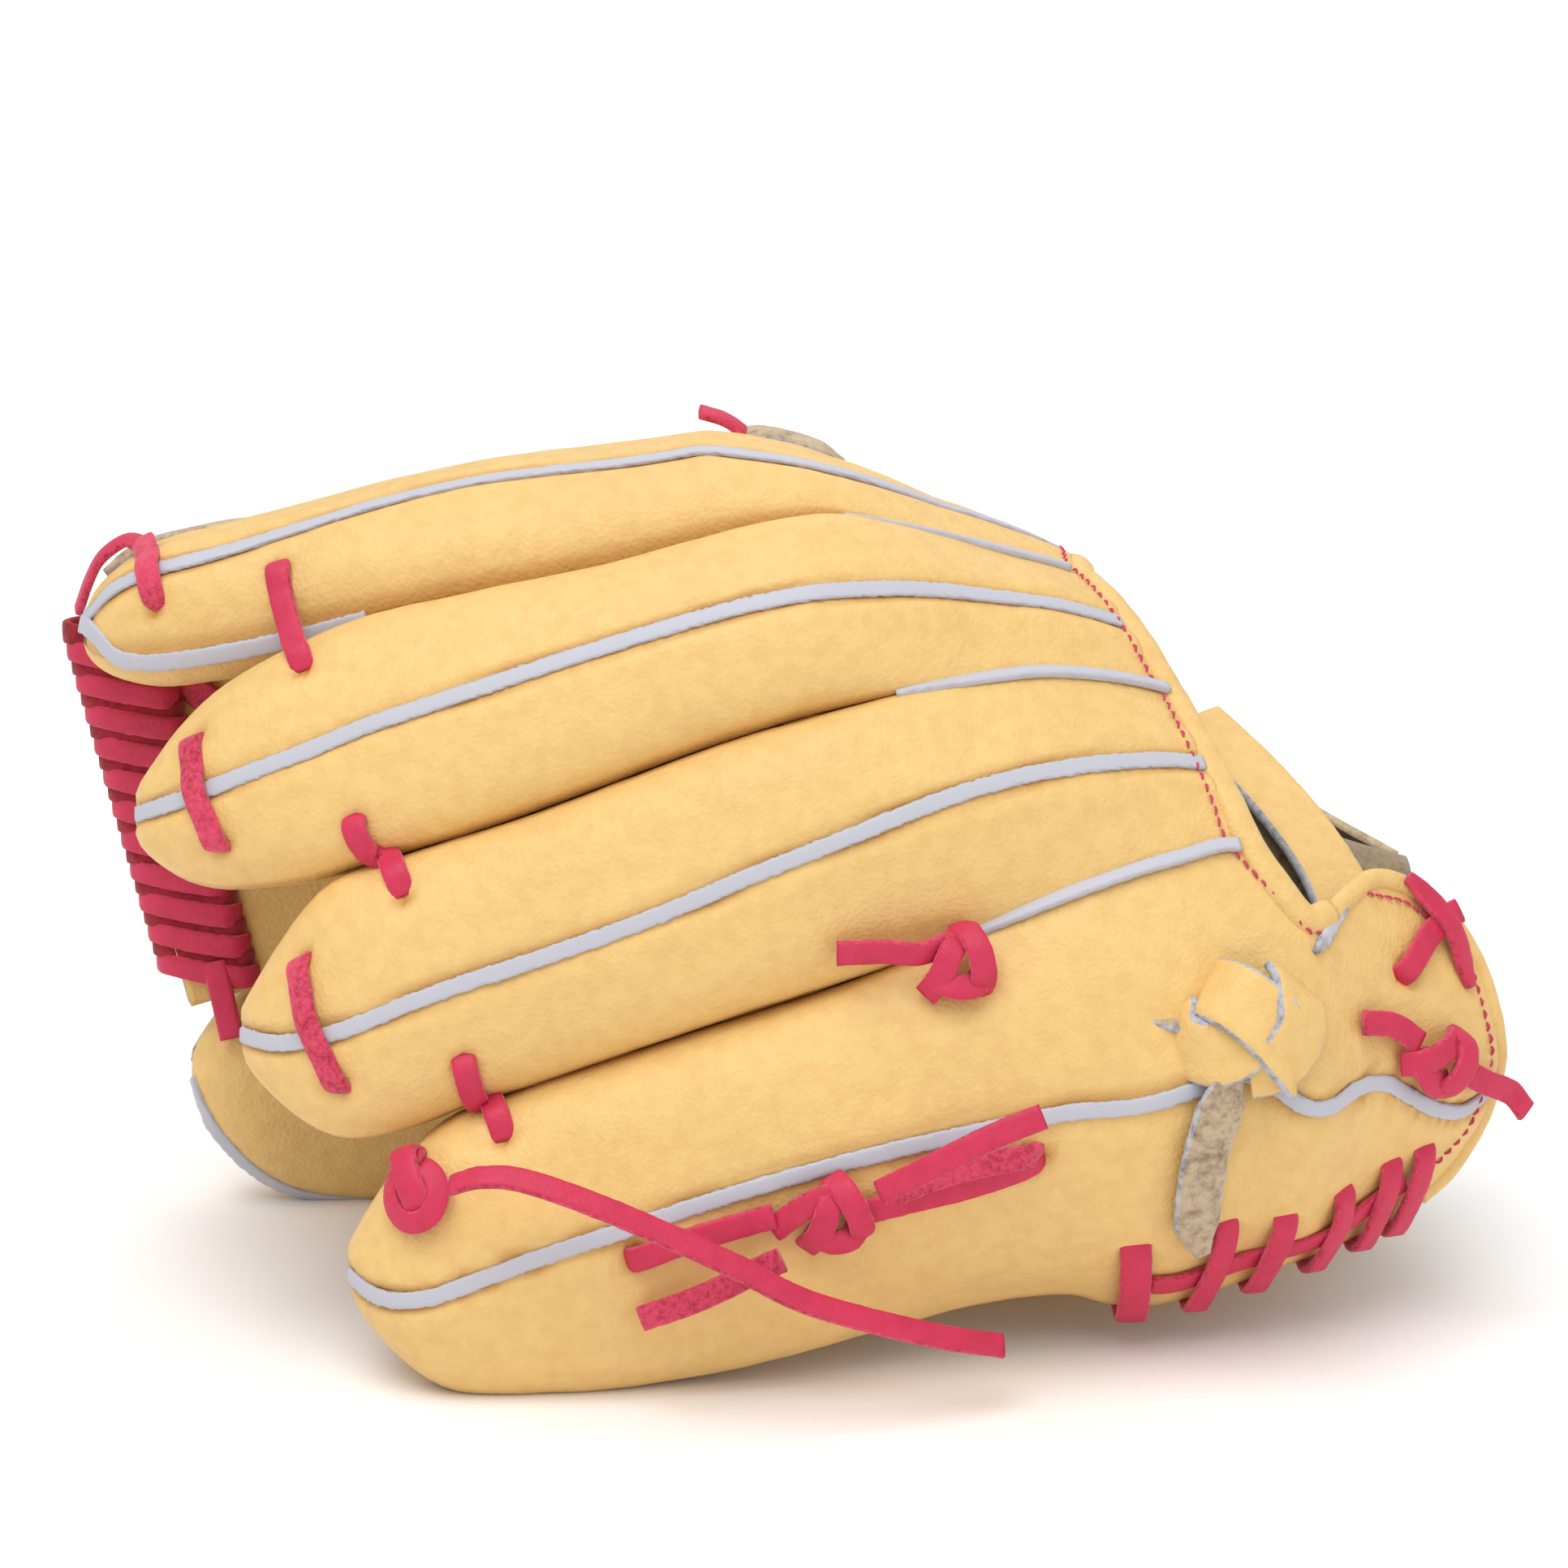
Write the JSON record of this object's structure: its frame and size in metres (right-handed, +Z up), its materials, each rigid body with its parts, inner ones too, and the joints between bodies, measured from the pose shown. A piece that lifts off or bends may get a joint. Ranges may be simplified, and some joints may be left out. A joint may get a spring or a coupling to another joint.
{
  "type": "baseball glove",
  "caption": "Tan leather baseball glove lying palm down, with red laces, grey welts, a closed web and a folding thumb side.",
  "frame": {"origin": "on the table, in the middle of the glove's footprint", "axes": "+X from the fingertips to the wrist, +Y from the little-finger side to the thumb side, +Z up"},
  "size_m": [0.2971, 0.1513, 0.1768],
  "materials": {
    "leather": "smooth",
    "lace": "matte",
    "welt": "fuzzy",
    "lining": "suede",
    "felt": "felt"
  },
  "bodies": {
    "glove": {"crotch_knot": "lace", "crotch_tail": "lace", "heel_cross_lace": "lace", "heel_edge_lace": "lace", "heel_flap": "leather", "heel_knot": "lace", "heel_lining": "lining", "heel_tail_inner": "lace", "heel_tail_outer": "lace", "heel_welt": "welt", "index_back": "leather", "index_middle_lace": "lace", "index_middle_welt": "welt", "index_stall": "leather", "index_tip_lace": "lace", "index_welt": "welt", "middle_back": "leather", "middle_ring_lace": "lace", "middle_ring_welt": "welt", "middle_stall": "leather", "middle_tip_lace": "lace", "middle_welt": "welt", "opening_binding": "leather", "palm_leather": "leather", "palm_lining": "lining", "pinky_back": "leather", "pinky_side_lace_heel": "lace", "pinky_stiffener": "felt", "ridge_back": "leather", "ridge_pad": "leather", "ring_back": "leather", "ring_pinky_lace": "lace", "ring_pinky_welt": "welt", "ring_stall": "leather", "ring_tip_lace": "lace", "ring_welt": "welt", "strap_knot": "leather", "strap_tail": "leather", "web_index_side": "leather", "wrist_strap": "leather"},
    "pinky_side": {"pinky_stall": "leather", "pinky_welt": "welt", "pinky_tip_knot": "lace", "pinky_tail": "lace", "pinky_side_lace_tip": "lace", "pinky_side_knot": "lace", "pinky_side_tail_high": "lace", "pinky_side_tail_low": "lace"},
    "thumb_side": {"thumb_stall": "leather", "thumb_welt": "welt", "thumb_heel_welt": "welt", "thumb_back": "leather", "thumb_palm": "leather", "crotch_pad": "leather", "crotch_back": "leather", "web_panel": "leather", "web_edge_lace": "lace", "web_bar": "leather", "web_thumb_lace": "lace"}
  },
  "joints": [
    {"name": "thumb_fold", "type": "hinge", "parent": "glove", "child": "thumb_side", "pos_m": [-0.01834, 0.04745, 0.1005], "axis": [-0.9768, 0, 0.2141], "range_deg": [-22, 15]},
    {"name": "pinky_fold", "type": "hinge", "parent": "glove", "child": "pinky_side", "pos_m": [0.00116, -0.0409, 0.07925], "axis": [0.9387, 0.0025, 0.3447], "range_deg": [0, 8]}
  ]
}
